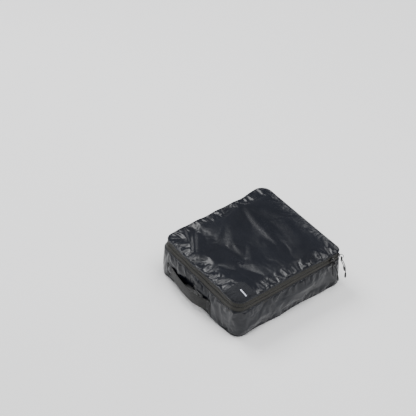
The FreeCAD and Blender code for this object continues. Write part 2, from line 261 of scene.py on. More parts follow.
def dark_nickel():
    paint = Paint("dark_nickel", 0.16, metallic=1.0)
    paint.colour(paint.noise("Object", 600.0), (0.030, 0.030, 0.032), (0.075, 0.075, 0.080))
    paint.rough(paint.noise("Object", 800.0), 0.10, 0.26)
    return paint.material


def braid():
    """A round braided cord: two crossing sets of fine ridges."""
    paint = Paint("braid", 0.75, specular=0.25)
    paint.colour(paint.noise("Object", 900.0), (0.004, 0.004, 0.005), (0.010, 0.010, 0.011))
    paint.bump(paint.wave("Object", "Z", 1.1 * MM, stretch=(1, 1, 1)), 0.5, 0.0002)
    paint.bump(paint.wave("Object", "DIAGONAL", 0.9 * MM), 0.5, 0.0002)
    return paint.material


def moulded():
    paint = Paint("moulded", 0.42)
    paint.colour(paint.noise("Object", 500.0), (0.006, 0.006, 0.007), (0.014, 0.014, 0.015))
    paint.bump(paint.noise("Object", 2500.0), 0.12, 0.00004)
    return paint.material


def pale_tab():
    paint = Paint("pale_tab", 0.6)
    paint.colour(paint.noise("UV", 300.0), (0.50, 0.52, 0.60), (0.72, 0.74, 0.82))
    paint.bump(paint.wave("UV", "X", 0.5 * MM), 0.3, 0.0001)
    return paint.material


def floor_paint():
    paint = Paint("floor", 0.7, specular=0.2)
    paint.colour(paint.noise("Object", 2.0), (0.95, 0.95, 0.95), (0.97, 0.97, 0.97))
    return paint.material


# ---- mesh helpers


def finish_piece(obj, material, body, replaces=()):
    obj.data.materials.clear()
    obj.data.materials.append(material)
    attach(obj, body)
    if replaces:
        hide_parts(*replaces)
    return obj


def mesh_piece(name, points, faces, uvs=None):
    """A smooth-shaded mesh; uvs are one pair per vertex, in metres."""
    mesh = bpy.data.meshes.new(name)
    mesh.from_pydata([tuple(p) for p in points], [], faces)
    if uvs is not None:
        layer = mesh.uv_layers.new(name="flat")
        index = np.empty(len(mesh.loops), dtype=int)
        mesh.loops.foreach_get("vertex_index", index)
        layer.data.foreach_set("uv", np.asarray(uvs)[index].astype(float).ravel())
    mesh.polygons.foreach_set("use_smooth", [True] * len(mesh.polygons))
    mesh.update()
    obj = bpy.data.objects.new(name, mesh)
    scene.collection.objects.link(obj)
    return obj


def grid_faces(rows, columns, wrap_rows=False, wrap_columns=False, flip=False):
    faces = []
    for row in range(rows if wrap_rows else rows - 1):
        after = (row + 1) % rows
        for column in range(columns if wrap_columns else columns - 1):
            beside = (column + 1) % columns
            face = [
                row * columns + column,
                after * columns + column,
                after * columns + beside,
                row * columns + beside,
            ]
            faces.append(face[::-1] if flip else face)
    return faces


def thicken(obj, depth):
    solid = obj.modifiers.new("thickness", "SOLIDIFY")
    solid.thickness = depth
    solid.offset = -1.0


# ---- the cube's outline


class Outline:
    """The cube's rounded outline, walked from the hinge's left end round the front."""

    def __init__(self):
        turn = math.pi / 2
        x, y, big, small = HALF_X, HALF_Y, CORNER_R, PULL_CORNER_R
        self.runs = []
        self.line((-HINGE_HALF, y), (-x + big, y))
        self.arc((-x + big, y - big), big, turn)
        self.line((-x, y - big), (-x, -y + big))
        self.arc((-x + big, -y + big), big, 2 * turn)
        self.line((-x + big, -y), (x - big, -y))
        self.arc((x - big, -y + big), big, 3 * turn)
        self.line((x, -y + big), (x, y - small))
        self.arc((x - small, y - small), small, 0)
        self.line((x - small, y), (HINGE_HALF, y))
        self.open_length = sum(run[0] for run in self.runs)
        self.line((HINGE_HALF, y), (-HINGE_HALF, y))
        self.length = sum(run[0] for run in self.runs)

    def line(self, start, end):
        start, end = np.array(start), np.array(end)
        self.runs.append((float(np.linalg.norm(end - start)), "line", start, end))

    def arc(self, centre, radius, angle):
        self.runs.append((radius * math.pi / 2, "arc", np.array(centre), (radius, angle)))

    def at(self, along):
        """Places and outward directions at these distances along the outline."""
        along = np.atleast_1d(np.asarray(along, float)) % self.length
        place = np.zeros((len(along), 2))
        outward = np.zeros((len(along), 2))
        begun = 0.0
        for length, kind, first, second in self.runs:
            here = (along >= begun) & (along <= begun + length)
            share = (along[here] - begun) / length
            if kind == "line":
                place[here] = first + share[:, None] * (second - first)
                way = (second - first) / length
                outward[here] = (way[1], -way[0])
            else:
                radius, angle = second
                turned = angle + share * math.pi / 2
                direction = np.stack([np.cos(turned), np.sin(turned)], -1)
                place[here] = first + radius * direction
                outward[here] = direction
            begun += length
        return place, outward


OUTLINE = Outline()


def smooth(value, low, high):
    share = np.clip((value - low) / (high - low), 0, 1)
    return share * share * (3 - 2 * share)


# How far the zipper band's lower and upper edges ride up along the handle side, in mm,
# at these places in X.
BAND_X = (-0.132, -0.077, -0.018, 0.031, 0.073, 0.106, 0.140)
BAND_LOW = (6.0, 5.0, 4.5, 0.0, -5.0, -4.0, -1.5)
BAND_HIGH = (6.0, 6.5, 4.0, 3.0, 2.5, 3.0, 2.0)


def slump(points):
    """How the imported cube's soft shell departs from its flat pattern.

    The zipper band leans in and wanders up and down along the handle side, the long edges
    are a little wavy, and the shell stays true along the hinge and where the sliders sit."""
    points = np.array(points, float)
    x, y, z = points[:, 0], points[:, 1], points[:, 2]
    height = smooth(z, 0.015, LID_Z)
    lean = smooth(z, GUSSET_TOP - 4 * MM, LID_Z + 2 * MM)
    # the slider side leans only above the chain, and the tape below stays on the sliders' line
    slider_lean = 4.5 * smooth(z, CHAIN_Z, LID_Z + 2 * MM) - 1.5 * height * (1 - smooth(z, 0.080, 0.091))
    free = 1 - smooth(y, 0.070, 0.115)
    handle_side = smooth(-y, 0.085, HALF_Y)
    left_side = smooth(-x, 0.10, HALF_X) * (1 - smooth(y, 0.10, 0.155))
    slider_side = smooth(x, 0.10, HALF_X) * free
    low_lift = np.interp(x, BAND_X, BAND_LOW)
    high_lift = np.interp(x, BAND_X, BAND_HIGH)
    lift = handle_side * (1 - smooth(x, 0.125, 0.158)) * (low_lift + (high_lift - low_lift) * lean) * MM
    lift += handle_side * 0.9 * MM * np.sin(x / 0.0105 + 0.8) * smooth(z, 0.05, 0.1)
    lift += left_side * (1.6 * np.sin(y / 0.021) + 1.0 * np.sin(y / 0.0093 + 1.0)) * MM
    lift += slider_side * (0.35 * np.sin(y / 0.024 + 0.5) + 0.15 * np.sin(y / 0.009)) * MM
    points[:, 2] += height * lift
    points[:, 1] += handle_side * (height * 3.2 + lean * (5.0 + 1.2 * np.sin(x / 0.03))) * MM
    points[:, 0] -= slider_side * slider_lean * MM
    points[:, 0] += left_side * (height * (2.0 + 1.5 * np.sin(y / 0.028)) + lean * 3.0) * MM
    foot = (1 - smooth(z, 0.0, 0.03)) * free
    points[:, 1] += foot * handle_side * (1.2 + 1.2 * np.sin(x / 0.019)) * MM
    points[:, 0] -= foot * slider_side * (1.8 + 1.8 * np.sin(y / 0.022)) * MM
    return points


def shell_points(along, inset, z):
    """Points on the slumped shell; along, inset and z are arrays of one length."""
    place, outward = OUTLINE.at(along)
    flat = place - outward * np.asarray(inset)[:, None]
    return slump(np.column_stack([flat, np.broadcast_to(z, len(flat))]))


# ---- puckers


class Puckers:
    """Small folds that a gathered seam throws into the cloth beside it."""

    def __init__(self, seed, count, reach, height, width, busy):
        rng = np.random.default_rng(seed)
        self.along = rng.uniform(0, OUTLINE.length, count)
        self.reach = rng.uniform(*reach, count)
        self.height = rng.uniform(*height, count) * rng.choice([-0.6, 1.0], count)
        self.width = rng.uniform(*width, count)
        self.slant = rng.normal(0, 0.35, count)
        self.height = self.height * busy(self.along)

    def lift(self, along, depth):
        total = np.zeros(len(along))
        for place, reach, height, width, slant in zip(
            self.along, self.reach, self.height, self.width, self.slant
        ):
            across = (along - place - slant * depth + OUTLINE.length / 2) % OUTLINE.length
            across = (across - OUTLINE.length / 2) / (width * (1 + depth / reach))
            near = np.abs(across) < 3
            shape = np.exp(-across[near] ** 2) * np.exp(-((depth[near] / reach) ** 1.5))
            total[near] += height * shape
        return total


# ---- cloth panels


def vertex_weights(obj, name, weights):
    group = obj.vertex_groups.new(name=name)
    weights = np.round(np.asarray(weights, float), 1)
    for level in np.unique(weights):
        chosen = np.nonzero(weights == level)[0]
        group.add(chosen.tolist(), float(level), "REPLACE")
    return name


def settle(obj, held, slack, excess, pressure, frames, reach):
    """Lets the cloth buckle by itself: held edges stay, slack cloth is cut over size.

    held and slack run from 0 to 1 for each vertex; no vertex moves further than reach."""
    mesh = obj.data
    begun = np.empty(len(mesh.vertices) * 3)
    mesh.vertices.foreach_get("co", begun)
    begun = begun.reshape(-1, 3)
    cloth = obj.modifiers.new("cloth", "CLOTH")
    settings = cloth.settings
    settings.quality = 7
    settings.mass = 0.12
    settings.tension_stiffness = settings.compression_stiffness = 22
    settings.shear_stiffness = 8
    settings.bending_stiffness = 0.35
    settings.air_damping = 2.5
    settings.vertex_group_mass = vertex_weights(obj, "held", held)
    settings.vertex_group_shrink = vertex_weights(obj, "taut", 1 - slack)
    settings.shrink_min, settings.shrink_max = -excess, 0.0
    settings.use_pressure = True
    settings.uniform_pressure_force = pressure
    settings.effector_weights.gravity = 0
    cloth.collision_settings.use_collision = False
    cloth.point_cache.frame_start, cloth.point_cache.frame_end = 1, frames
    for number in range(1, frames + 1):
        scene.frame_set(number)
    result = obj.evaluated_get(bpy.context.evaluated_depsgraph_get()).to_mesh()
    ended = np.empty(len(result.vertices) * 3)
    result.vertices.foreach_get("co", ended)
    ended = ended.reshape(-1, 3)
    obj.modifiers.remove(cloth)
    scene.frame_set(1)
    obj.vertex_groups.clear()
    move = np.nan_to_num(ended - begun)
    far = np.linalg.norm(move, axis=1)
    move *= (reach * np.tanh(far / reach) / np.maximum(far, 1e-9))[:, None]
    mesh.vertices.foreach_set("co", (begun + move).ravel())
    mesh.update()


def panel_grid(columns, rows):
    """A square grid, from -1 to 1 both ways, that panel_places shapes to the outline."""
    u = np.linspace(-1, 1, columns)
    v = np.linspace(-1, 1, rows)
    grid_u, grid_v = np.meshgrid(u, v, indexing="ij")
    return grid_u.ravel(), grid_v.ravel()


def panel_places(u, v):
    """Maps the square's places to places inside the rounded outline."""
    x, y = u * HALF_X, v * HALF_Y
    out_x, out_y = x.copy(), y.copy()
    for side_x, side_y, radius in (
        (1, 1, PULL_CORNER_R),
        (-1, 1, CORNER_R),
        (-1, -1, CORNER_R),
        (1, -1, CORNER_R),
    ):
        reach = 2.2 * radius
        near_x = (side_x * x - (HALF_X - reach)) / reach
        near_y = (side_y * y - (HALF_Y - reach)) / reach
        here = (near_x > 0) & (near_y > 0)
        a, b = near_x[here], near_y[here]
        edge = np.maximum(a, b)
        corner = (HALF_X - reach, HALF_Y - reach)
        flat = reach - radius
        t = np.minimum(a, b) / np.maximum(edge, 1e-9)
        swing = t * (flat + radius * math.pi / 4)
        on_line = swing <= flat
        angle = np.where(on_line, 0, (swing - flat) / radius)
        far = np.where(on_line, reach, flat + radius * np.cos(angle))
        side = np.where(on_line, swing, flat + radius * np.sin(angle))
        wide = a >= b
        new_x = np.where(wide, far, side) * edge
        new_y = np.where(wide, side, far) * edge
        out_x[here] = side_x * (corner[0] + new_x)
        out_y[here] = side_y * (corner[1] + new_y)
    return out_x, out_y


def nearest_along(x, y):
    """Distance along the outline of the nearest edge point, and the depth in from it."""
    samples = np.linspace(0, OUTLINE.length, 2600, endpoint=False)
    place, _ = OUTLINE.at(samples)
    along = np.empty(len(x))
    depth = np.empty(len(x))
    for start in range(0, len(x), 4000):
        part = slice(start, start + 4000)
        gap = (x[part, None] - place[None, :, 0]) ** 2 + (y[part, None] - place[None, :, 1]) ** 2
        best = gap.argmin(1)
        along[part] = samples[best]
        depth[part] = np.sqrt(gap[np.arange(len(best)), best])
    return along, depth


def fold(x, y, start, end, width, height):
    """One long soft fold between two places."""
    start, end = np.array(start), np.array(end)
    way = end - start
    share = ((x - start[0]) * way[0] + (y - start[1]) * way[1]) / (way @ way)
    share_in = np.clip(share, 0, 1)
    gap = np.hypot(x - start[0] - share_in * way[0], y - start[1] - share_in * way[1])
    taper = np.sin(np.clip(share, 0.02, 0.98) * math.pi) ** 0.5
    return height * taper * np.exp(-((gap / width) ** 2))


def lid_busy(along):
    place, _ = OUTLINE.at(along)
    handle = smooth(-place[:, 1], 0.12, 0.165)
    left = smooth(-place[:, 0], 0.12, 0.155) * 0.7
    slider = smooth(place[:, 0], 0.12, 0.155) * 0.75
    return 0.10 + np.maximum(np.maximum(handle, left), slider)


# Long folds in the lid: two ends and a half width in metres, and a height in mm.
LID_FOLDS = (
    ((-0.150, -0.080), (-0.060, -0.150), 0.012, 2.6),
    ((-0.140, -0.050), (-0.040, -0.130), 0.017, -1.6),
    ((-0.145, 0.020), (0.060, -0.040), 0.021, 1.4),
    ((-0.120, 0.090), (0.050, 0.020), 0.024, 1.3),
    ((-0.060, -0.140), (0.060, -0.060), 0.018, 1.1),
    ((0.020, -0.150), (0.130, -0.020), 0.017, -1.0),
    ((0.060, 0.000), (0.150, 0.060), 0.014, 1.1),
    ((-0.020, 0.140), (0.110, 0.090), 0.022, 1.0),
)


def make_lid_cloth(material):
    columns, rows = 129, 139
    u, v = panel_grid(columns, rows)
    x, y = panel_places(u, v)
    along, depth = nearest_along(x, y)
    crown = 4.0 * MM * np.clip(depth / 0.05, 0, 1) ** 0.5 * (1 - 0.5 * smooth(depth, 0.05, 0.16))
    puckers = Puckers(3, 300, (0.008, 0.030), (0.5 * MM, 1.5 * MM), (1.8 * MM, 3.4 * MM), lid_busy)
    inside = smooth(depth, 0.0, 0.006)
    rise = crown + inside * puckers.lift(along, depth)
    for start, end, width, height in LID_FOLDS:
        rise += inside * fold(x, y, start, end, width, height * MM)
    shrink = 1 - 0.6 * MM / HALF_X
    points = slump(np.column_stack([x * shrink, y * shrink, np.full(len(x), LID_Z - 0.6 * MM)]))
    points[:, 2] += rise
    faces = grid_faces(columns, rows)
    obj = mesh_piece("lid_cloth", points, faces, np.column_stack([x, y]))
    slack = (1 - smooth(depth, 0.012, 0.045)) * lid_busy(along)
    settle(obj, depth < 1.5 * MM, np.clip(slack + 0.08, 0, 1), 0.065, 0.35, 30, 4.5 * MM)
    thicken(obj, 0.5 * MM)
    return finish_piece(obj, material, "lid", ("top_panel",))


def wall_busy(along):
    place, _ = OUTLINE.at(along)
    return 0.55 + 0.45 * smooth(np.maximum(-place[:, 1], place[:, 0]), 0.12, 0.155)


def wall_bulge(along, z, low, high):
    """A packed wall swells a little between its seams."""
    share = np.clip((z - low) / (high - low), 0, 1)
    belly = np.sin(share * math.pi) ** 0.8
    return belly * (3.2 + 1.2 * np.sin(along / 0.055) + 0.8 * np.sin(along / 0.023 + 1)) * MM


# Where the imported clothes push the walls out: along the outline, height, half length,
# half height and how far, in metres.
WALL_SWELLS = (
    (0.841, 0.040, 0.017, 0.022, 0.0055),
    (0.775, 0.052, 0.024, 0.015, -0.0030),
    (0.905, 0.060, 0.030, 0.013, 0.0050),
    (0.950, 0.056, 0.020, 0.014, 0.0035),
    (0.925, 0.026, 0.040, 0.012, -0.0025),
    (0.735, 0.030, 0.018, 0.016, 0.0030),
    (0.542, 0.062, 0.020, 0.014, 0.0045),
    (0.470, 0.058, 0.016, 0.016, 0.0035),
    (0.420, 0.040, 0.010, 0.030, 0.0040),
    (0.602, 0.060, 0.018, 0.016, 0.0030),
    (0.300, 0.050, 0.030, 0.020, 0.0040),
    (0.180, 0.040, 0.034, 0.018, 0.0035),
    (0.235, 0.064, 0.022, 0.012, -0.0020),
)


PULL_ALONG = 0.992  # where the first pull hangs: the wall stays flatter behind it


def make_gusset_cloth(material):
    low, high = 0.8 * MM, GUSSET_TOP
    columns, rows = 430, 36
    along_line = np.linspace(0, OUTLINE.open_length, columns)
    z_line = np.linspace(low, high, rows)
    along, z = [g.ravel() for g in np.meshgrid(along_line, z_line, indexing="ij")]
    top = Puckers(11, 240, (0.008, 0.034), (0.7 * MM, 2.1 * MM), (2.2 * MM, 4.6 * MM), wall_busy)
    foot = Puckers(12, 150, (0.006, 0.026), (0.5 * MM, 1.6 * MM), (2.6 * MM, 6.0 * MM), wall_busy)
    out = wall_bulge(along, z, low, high)
    for place, level, half_length, half_height, push in WALL_SWELLS:
        out += push * np.exp(-((along - place) / half_length) ** 2 - ((z - level) / half_height) ** 2)
    out += smooth(high - z, 0, 0.006) * top.lift(along, high - z)
    out += smooth(z - low, 0, 0.006) * foot.lift(along, z - low)
    out *= 1 - 0.9 * np.exp(-(((along - PULL_ALONG) / 0.034) ** 2))
    ends = smooth(along, 0, 0.01) * smooth(OUTLINE.open_length - along, 0, 0.01)
    points = shell_points(along, 0.5 * MM - out * ends, z)
    faces = grid_faces(columns, rows, flip=True)
    obj = mesh_piece("gusset_cloth", points, faces, np.column_stack([along, z]))
    to_seam = np.minimum(high - z, z - low)
    to_end = np.minimum(along, OUTLINE.open_length - along)
    fixed = (to_seam < 1 * MM) | (to_end < 1 * MM)
    slack = 0.12 + 0.88 * (1 - smooth(to_seam, 0.006, 0.026))
    settle(obj, fixed, slack, 0.06, 0.30, 30, 4.0 * MM)
    thicken(obj, 0.5 * MM)
    return finish_piece(obj, material, "base", ("side_gusset",))


def make_back_cloth(material):
    low, high = 0.8 * MM, LID_Z - 0.8 * MM
    columns, rows = 90, 46
    x_line = np.linspace(-HINGE_HALF, HINGE_HALF, columns)
    z_line = np.linspace(low, high, rows)
    x, z = [g.ravel() for g in np.meshgrid(x_line, z_line, indexing="ij")]
    along = OUTLINE.open_length + HINGE_HALF - x
    seam = Puckers(21, 130, (0.006, 0.026), (0.4 * MM, 1.4 * MM), (2.4 * MM, 5 * MM), np.ones_like)
    out = wall_bulge(along, z, low, high) * 0.9
    out += smooth(high - z, 0, 0.006) * seam.lift(along, high - z)
    out += smooth(z - low, 0, 0.006) * seam.lift(along + 0.031, z - low)
    out *= smooth(HINGE_HALF - np.abs(x), 0, 0.02)
    points = np.column_stack([x, HALF_Y - 0.5 * MM + out, z])
    obj = mesh_piece("back_cloth", points, grid_faces(columns, rows), np.column_stack([x, z]))
    obj.data.flip_normals()
    thicken(obj, 0.5 * MM)
    return finish_piece(obj, material, "base", ("back_wall",))


def make_base_cloth(material):
    columns, rows = 65, 69
    u, v = panel_grid(columns, rows)
    x, y = panel_places(u, v)
    _, depth = nearest_along(x, y)
    sag = 0.35 * MM * np.sin(x / 0.03) * np.sin(y / 0.027) * smooth(depth, 0, 0.02)
    shrink = 1 - 0.8 * MM / HALF_X
    flat = np.column_stack([x * shrink, y * shrink, np.full(len(x), 1.0 * MM)])
    points = slump(flat)
    points[:, 2] = 1.0 * MM + sag
    obj = mesh_piece("base_cloth", points, grid_faces(columns, rows), np.column_stack([x, y]))
    thicken(obj, 0.5 * MM)
    return finish_piece(obj, material, "base", ("base_panel",))


# ---- sweeps along the outline


def sweep(name, profile, start, end, step, closed=False, wrap=True):
    """A cross-section, (inset, z) pairs, carried along the slumped outline."""
    count = max(8, int((end - start) / step))
    line = np.linspace(start, end, count, endpoint=not closed)
    profile = np.asarray(profile, float)
    size = len(profile)
    along = np.repeat(line, size)
    inset = np.tile(profile[:, 0], count)
    z = np.tile(profile[:, 1], count)
    points = shell_points(along, inset, z)
    walk = np.concatenate([[0], np.cumsum(np.hypot(*np.diff(profile, axis=0).T))])
    uvs = np.column_stack([along, np.tile(walk, count)])
    faces = grid_faces(count, size, wrap_rows=closed, wrap_columns=wrap)
    if wrap and not closed:
        faces.append(list(range(size)))
        faces.append([(count - 1) * size + k for k in range(size)][::-1])
    return mesh_piece(name, points, faces, uvs)


def round_profile(inset, z, wide, tall, count=10):
    turns = np.linspace(0, 2 * math.pi, count, endpoint=False)
    return [(inset - wide * math.cos(t), z + tall * math.sin(t)) for t in turns]


def tape_profile(low, high, chain_at_top):
    """A tape's section: outer face ribbed lengthways, its chain edge rolled inwards."""
    count = 22
    thick = 0.8 * MM
    outer = []
    for z in np.linspace(low, high, count):
        share = (z - low) / (high - low)
        edge = share if chain_at_top else 1 - share
        roll = 1.7 * MM * smooth(np.array(edge), 0.82, 1.0)
        under_slider = abs(z - CHAIN_Z) < 6.5 * MM
        rib = (0.12 if under_slider else 0.30) * MM * math.sin(z / (0.42 * MM))
        outer.append((TAPE_INSET + float(roll) - rib, z))
    inner = [(inset + thick, z) for inset, z in outer[::-1]]
    return outer + inner


def make_tapes(material):
    end = OUTLINE.open_length
    gap = 0.55 * MM
    low = sweep("zipper_tape_lower_cloth",
                tape_profile(TAPE_LOW[2], CHAIN_Z - gap, True), 0, end, 2.4 * MM)
    finish_piece(low, material, "base", ("zipper_tape_lower",))
    high = sweep("zipper_tape_upper_cloth",
                 tape_profile(CHAIN_Z + gap, LID_Z - 1.2 * MM, False), 0, end, 2.4 * MM)
    finish_piece(high, material, "lid", ("zipper_tape_upper",))


def make_coil(name, middle, body, node, material, phase):
    """One half of the chain: a round wire wound into loops behind the tape."""
    pitch = 1.5 * MM
    per_turn = 8
    wire = 0.36 * MM
    turns = int(OUTLINE.open_length / pitch) - 6
    count = turns * per_turn
    step = np.arange(count)
    angle = 2 * math.pi * step / per_turn + phase
    along = 3 * pitch + step * pitch / per_turn
    inset = COIL_INSET + 1.1 * MM + 0.7 * MM * np.cos(angle)
    z = middle + 1.25 * MM * np.sin(angle)
    line = shell_points(along, inset, z)
    way = np.gradient(line, axis=0)
    way /= np.linalg.norm(way, axis=1)[:, None]
    side = np.cross(way, np.array([0, 0, 1.0]))
    side /= np.linalg.norm(side, axis=1)[:, None]
    up = np.cross(side, way)
    rim = 5
    points = np.zeros((count, rim, 3))
    for k in range(rim):
        turn = 2 * math.pi * k / rim
        points[:, k] = line + wire * (math.cos(turn) * side + math.sin(turn) * up)
    faces = grid_faces(count, rim, wrap_columns=True)
    faces.append(list(range(rim)))
    faces.append([(count - 1) * rim + k for k in range(rim)][::-1])
    obj = mesh_piece(name, points.reshape(-1, 3), faces)
    return finish_piece(obj, material, body, (node,))


def stitch_row(name, inset, z, start, end, body, material, pitch=4.0 * MM):
    """A row of topstitches: short rounded threads that dip into the cloth."""
    count = int((end - start) / pitch)
    rim, rings = 5, 5
    points, faces = [], []
    for number in range(count):
        first = start + number * pitch
        line = first + np.linspace(0, 0.72 * pitch, rings)
        share = np.linspace(0, 1, rings)
        radius = 0.30 * MM * np.clip(np.sin(share * math.pi), 0.35, 1)
        dip = 0.25 * MM * (1 - np.sin(share * math.pi))
        base = len(points)
        for ring in range(rings):
            for k in range(rim):
                turn = 2 * math.pi * k / rim
                points.append((
                    line[ring],
                    inset + dip[ring] - radius[ring] * math.cos(turn),
                    z + radius[ring] * math.sin(turn),
                ))
        for face in grid_faces(rings, rim, wrap_columns=True):
            faces.append([base + index for index in face])
        faces.append([base + k for k in range(rim)])
        faces.append([base + (rings - 1) * rim + k for k in range(rim)][::-1])
    points = np.array(points)
    placed = shell_points(points[:, 0], points[:, 1], points[:, 2])
    obj = mesh_piece(name, placed, faces)
    return finish_piece(obj, material, body)


def make_edges(cloth, binding, stitches):
    """Folded cloth edges, the seams round the lid and base, bindings and topstitching."""
    end = OUTLINE.open_length
    whole = OUTLINE.length
    # name, inset, height, half width, half height, start, end, step, body
    seams = (
        ("gusset_lip", 0.35 * MM, GUSSET_TOP, 1.0 * MM, 1.3 * MM, 0, end, 3 * MM, "base"),
        ("lid_rim", 0.7 * MM, LID_Z - 0.9 * MM, 1.1 * MM, 1.0 * MM, 0, end, 3 * MM, "lid"),
        ("hinge_seam", 0.9 * MM, LID_Z - 1.0 * MM, 1.1 * MM, 0.9 * MM, end, whole, 4 * MM, "base"),
        ("base_seam", 0.7 * MM, 1.3 * MM, 1.1 * MM, 1.2 * MM, 0, whole, 3 * MM, "base"),
    )
    for name, inset, z, wide, tall, start, stop, step, body in seams:
        profile = round_profile(inset, z, wide, tall)
        seam = sweep(name, profile, start, stop, step, closed=name == "base_seam")
        finish_piece(seam, cloth, body)
    # node, inset, half width, half height, start, end, body
    bindings = (
        ("base_binding", 1.9 * MM, 0.6 * MM, 3.4 * MM, 0, whole, "base"),
        ("lid_binding", 2.9 * MM, 0.6 * MM, 3.4 * MM, 0, end, "lid"),
        ("hinge_binding", 3.2 * MM, 1.5 * MM, 0.5 * MM, end + 1 * MM, whole - 1 * MM, "lid"),
    )
    for node, inset, wide, tall, start, stop, body in bindings:
        low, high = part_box(node)
        profile = round_profile(inset, (low[2] + high[2]) / 2, wide, tall)
        tape = sweep(f"{node}_tape", profile, start, stop, 4 * MM, closed=node == "base_binding")
        finish_piece(tape, binding, body, (node,))
    stitch_row("stitches_gusset", 0.0, GUSSET_TOP - 2.6 * MM, 2 * MM, end, "base", stitches)
    stitch_row("stitches_tape_lower", TAPE_INSET - 0.1 * MM, GUSSET_TOP + 2.6 * MM, 2 * MM, end,
               "base", stitches)
    stitch_row("stitches_tape_upper", TAPE_INSET - 0.1 * MM, LID_Z - 4.0 * MM, 2 * MM, end,
               "lid", stitches)


def make_back_bindings(material):
    for name, side in (("left", 0), ("right", 1)):
        low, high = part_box(f"back_seam_binding_{name}")
        middle = OUTLINE.open_length if side else 0
        across = np.linspace(-5.5 * MM, 5.5 * MM, 9)
        up = np.linspace(low[2], high[2], 24)
        along, z = [g.ravel() for g in np.meshgrid(across, up, indexing="ij")]
        bulge = 0.5 * MM * np.cos(along / (5.5 * MM) * math.pi / 2)
        points = shell_points(along + middle, 1.6 * MM + bulge, z)
        obj = mesh_piece(f"back_seam_tape_{name}", points, grid_faces(9, 24), np.column_stack([along, z]))
        thicken(obj, 0.4 * MM)
        finish_piece(obj, material, "base", (f"back_seam_binding_{name}",))


def rounded_box(name, low, high, radius, segments=3):
    """A box with rounded edges, for the small sewn and moulded pieces."""
    low, high = Vector(low), Vector(high)
    mesh = bpy.data.meshes.new(name)
    corners = [
        (x, y, z)
        for x in (low.x, high.x)
        for y in (low.y, high.y)
        for z in (low.z, high.z)
    ]
    faces = [(0, 1, 3, 2), (4, 6, 7, 5), (0, 4, 5, 1), (2, 3, 7, 6), (0, 2, 6, 4), (1, 5, 7, 3)]
    mesh.from_pydata(corners, [], faces)
    layer = mesh.uv_layers.new(name="flat")
    for loop in mesh.loops:
        place = mesh.vertices[loop.vertex_index].co
        layer.data[loop.index].uv = (place.x + place.y, place.z)
    obj = bpy.data.objects.new(name, mesh)
    scene.collection.objects.link(obj)
    bevel = obj.modifiers.new("rounding", "BEVEL")
    bevel.width = radius
    bevel.segments = segments
    bevel.limit_method = "NONE"
    mesh.polygons.foreach_set("use_smooth", [True] * len(mesh.polygons))
    return obj


def make_zipper_ends(tape, coil):
    for name in ("left", "right"):
        low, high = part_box(f"zipper_stop_{name}")
        stop = rounded_box(f"zipper_end_stop_{name}", low, high, 0.5 * MM)
        finish_piece(stop, coil, "base", (f"zipper_stop_{name}",))
        low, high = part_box(f"zipper_tab_{name}")
        tab = rounded_box(f"zipper_end_tab_{name}", low, high, 0.35 * MM)
        finish_piece(tab, tape, "base", (f"zipper_tab_{name}",))


# ---- handle


def curve_through(points, count):
    """A smooth line through a few places (Catmull-Rom)."""
    points = np.array(points, float)
    padded = np.vstack([2 * points[0] - points[1], points, 2 * points[-1] - points[-2]])
    out = []
    spans = len(points) - 1
    for share in np.linspace(0, spans - 1e-9, count):
        span = int(share)
        t = share - span
        a, b, c, d = padded[span:span + 4]
        out.append(0.5 * (2 * b + (c - a) * t + (2 * a - 5 * b + 4 * c - d) * t * t
                          + (3 * b - a - 3 * c + d) * t ** 3))
    return np.array(out)


def make_handle(material, stitches):
    """One strap of webbing, sewn down at both ends and standing off the wall between."""
    grip_low, grip_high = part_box("handle_grip")
    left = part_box("handle_end_left")[0][0]
    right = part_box("handle_end_right")[1][0]
    wall = -HALF_Y
    middle_z = (grip_low[2] + grip_high[2]) / 2
    half = (grip_high[2] - grip_low[2]) / 2
    route = [
        (left, wall - 2.6 * MM),
        (left + 10 * MM, wall - 2.6 * MM),
        (left + 24 * MM, wall - 4.5 * MM),
        (left + 52 * MM, wall - 11.0 * MM),
        (left + 92 * MM, wall - 16.6 * MM),
        (left + 122 * MM, wall - 17.6 * MM),
        (left + 146 * MM, wall - 13.0 * MM),
        (left + 164 * MM, wall - 5.4 * MM),
        (right - 12 * MM, wall - 3.2 * MM),
        (right, wall - 3.0 * MM),
    ]
    line = curve_through(route, 96)
    way = np.gradient(line, axis=0)
    way /= np.linalg.norm(way, axis=1)[:, None]
    side = np.column_stack([way[:, 1], -way[:, 0]])
    walk = np.concatenate([[0], np.cumsum(np.linalg.norm(np.diff(line, axis=0), axis=1))])
    across = np.linspace(-1, 1, 40)
    thick = 0.85 * MM
    points, uvs = [], []
    for place, out, distance in zip(line, side, walk):
        for face in (1, -1):
            for t in across[::face]:
                ridge = 0.10 * MM * math.sin(t * half / (0.42 * MM))
                edge = thick * (1 - abs(t) ** 14) ** 0.5 + ridge * (abs(t) < 0.9)
                cup = 0.9 * MM * t * t * math.sin(distance / walk[-1] * math.pi)
                spot = place + out * (face * edge - cup)
                points.append((spot[0], spot[1], middle_z + t * half))
                uvs.append((distance, t * half))
    size = 2 * len(across)
    faces = grid_faces(len(line), size, wrap_columns=True)
    faces.append(list(range(size)))
    faces.append([(len(line) - 1) * size + k for k in range(size)][::-1])
    strap = mesh_piece("handle_strap", points, faces, uvs)
    finish_piece(strap, material, "base",
                 ("handle_grip", "handle_leg_left", "handle_leg_right"))
    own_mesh(strap)
    for name in ("left", "right"):
        low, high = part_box(f"handle_end_{name}")
        low = Vector((low[0], low[1] - 0.8 * MM, low[2] - 0.4 * MM))
        high = Vector((high[0], wall - 0.4 * MM, high[2] + 0.4 * MM))
        fold_piece = rounded_box(f"handle_fold_{name}", low, high, 1.1 * MM)
        finish_piece(fold_piece, material, "base", (f"handle_end_{name}",))
        make_bar_tack(f"handle_tack_{name}", low, high, stitches)


